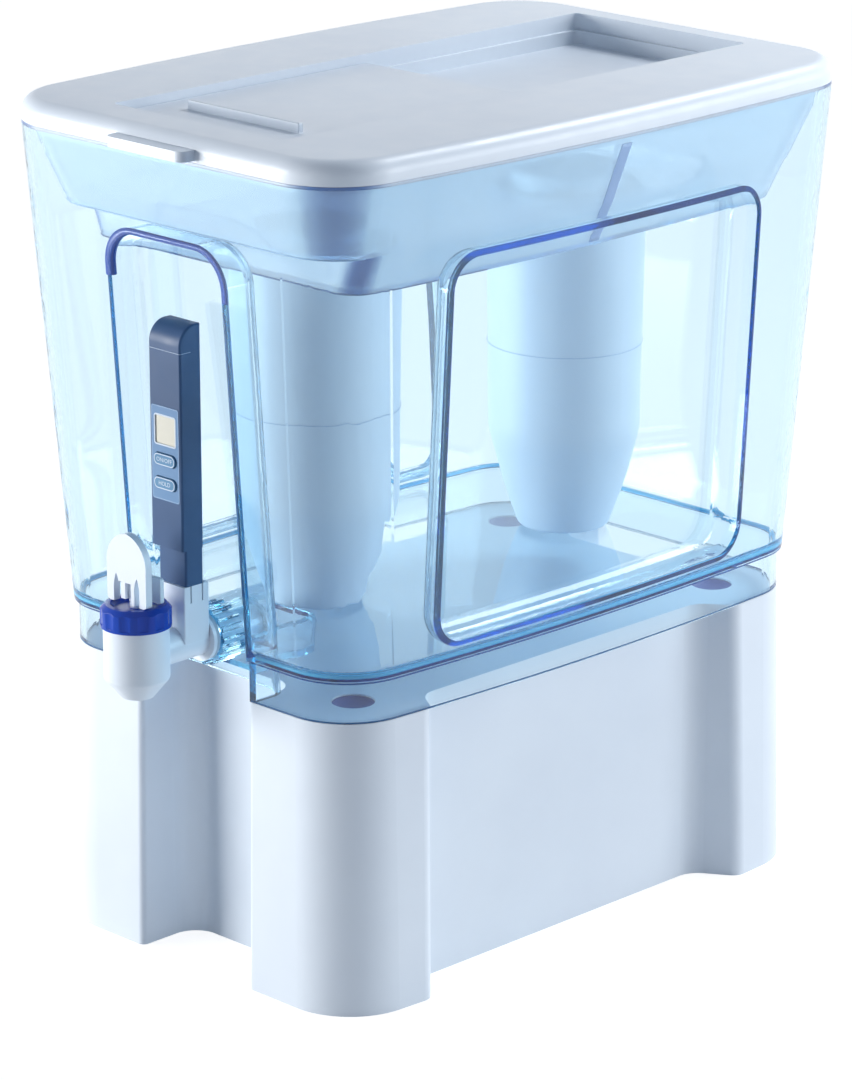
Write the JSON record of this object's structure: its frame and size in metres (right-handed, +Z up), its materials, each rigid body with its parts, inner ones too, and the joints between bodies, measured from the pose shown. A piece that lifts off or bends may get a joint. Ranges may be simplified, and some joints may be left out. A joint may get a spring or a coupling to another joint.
{
  "type": "gravity water filter dispenser",
  "caption": "Clear water tank on a white stand, with a filter tub hung in its rim, a lid with a sliding fill door, a lever tap in a front niche and a clip-in water meter.",
  "frame": {"origin": "on the floor, under the middle of the bounding box", "axes": "+Z up, -Y towards the tap, +X to the right of someone who faces the back of the object from its tap side"},
  "size_m": [0.262, 0.4198, 0.4418],
  "materials": {
    "white": "glossy moulded white",
    "clear_blue": "clear moulded plastic with a pale blue tint",
    "clear_pale": "clear moulded plastic, nearly colourless",
    "filter_shell": "satin pale blue moulded plastic",
    "filter_screen": "satin white moulded plastic",
    "seal_grey": "soft grey silicone",
    "cup_white": "soft white silicone",
    "royal_blue": "glossy royal blue",
    "pin_steel": "turned stainless steel",
    "meter_navy": "satin dark slate blue",
    "label_navy": "printed film, navy",
    "lcd": "reflective display, pale cream",
    "key_navy": "soft-touch keys",
    "cell_steel": "button cells",
    "board_green": "circuit board",
    "probe_metal": "electrode pins in a black holder"
  },
  "bodies": {
    "stand": {"stand": "white"},
    "tank": {"tank": "clear_blue", "tap_body": "white", "tap_bonnet": "royal_blue", "tap_front_washer": "seal_grey", "tap_rear_washer": "seal_grey", "tap_nut": "clear_pale", "tap_seat_cup": "cup_white", "meter_holder": "white"},
    "reservoir": {"reservoir": "clear_pale"},
    "filter_front": {"filter_front_upper_shell": "filter_shell", "filter_front_lower_shell": "filter_shell", "filter_front_seal": "seal_grey", "filter_front_top_cap": "filter_screen"},
    "filter_rear": {"filter_rear_upper_shell": "filter_shell", "filter_rear_lower_shell": "filter_shell", "filter_rear_seal": "seal_grey", "filter_rear_top_cap": "filter_screen"},
    "lid": {"lid": "white"},
    "lid_door": {"lid_door": "white"},
    "tap_stem": {"tap_stem": "white", "tap_lever_pin": "pin_steel"},
    "tap_lever": {"tap_lever": "white"},
    "meter_cap": {"meter_probe_cap": "meter_navy"},
    "meter": {"meter_body": "meter_navy", "meter_faceplate": "label_navy", "meter_screen": "lcd", "meter_board": "board_green", "meter_probe": "probe_metal", "meter_batteries": "cell_steel"},
    "meter_head": {"meter_head": "meter_navy"},
    "power_button": {"meter_power_button": "key_navy"},
    "hold_button": {"meter_hold_button": "key_navy"}
  },
  "joints": [
    {"name": "tank_lift", "type": "slide", "parent": "stand", "child": "tank", "axis": [0, 0, 1], "range_m": [0, 0.06]},
    {"name": "reservoir_lift", "type": "slide", "parent": "tank", "child": "reservoir", "axis": [0, 0, 1], "range_m": [0, 0.26]},
    {"name": "lid_lift", "type": "slide", "parent": "reservoir", "child": "lid", "axis": [0, 0, 1], "range_m": [0, 0.06]},
    {"name": "door_slide", "type": "slide", "parent": "lid", "child": "lid_door", "axis": [0, 1, 0], "range_m": [0, 0.161]},
    {"name": "filter_front_turn", "type": "hinge", "parent": "reservoir", "child": "filter_front", "pos_m": [0, -0.0669, 0.3675], "axis": [0, 0, 1], "range_deg": [0, 90]},
    {"name": "filter_rear_turn", "type": "hinge", "parent": "reservoir", "child": "filter_rear", "pos_m": [0, 0.1161, 0.3675], "axis": [0, 0, 1], "range_deg": [0, 90]},
    {"name": "tap_stem_lift", "type": "slide", "parent": "tank", "child": "tap_stem", "axis": [0, 0, 1], "range_m": [0, 0.0035], "deforming": ["tap_seat_cup"]},
    {"name": "tap_lever_tilt", "type": "hinge", "parent": "tap_stem", "child": "tap_lever", "pos_m": [0, -0.192, 0.212], "axis": [1, 0, 0], "range_deg": [0, 40], "stiffness_Nm_per_rad": 0.05},
    {"name": "meter_cap_lift", "type": "slide", "parent": "tank", "child": "meter_cap", "axis": [0, 0, 1], "range_m": [0, 0.012]},
    {"name": "meter_lift", "type": "slide", "parent": "meter_cap", "child": "meter", "axis": [0, 0, 1], "range_m": [0, 0.016]},
    {"name": "meter_head_slide", "type": "slide", "parent": "meter", "child": "meter_head", "axis": [0, 0, 1], "range_m": [0, 0.01]},
    {"name": "power_button_press", "type": "slide", "parent": "meter", "child": "power_button", "axis": [0, 1, 0], "range_m": [0, 0.0006], "stiffness_N_per_m": 400},
    {"name": "hold_button_press", "type": "slide", "parent": "meter", "child": "hold_button", "axis": [0, 1, 0], "range_m": [0, 0.0006], "stiffness_N_per_m": 400}
  ],
  "couplings": [
    {"joint": "tap_stem_lift", "follows": "tap_lever_tilt", "m_per_rad": 0.0045}
  ]
}
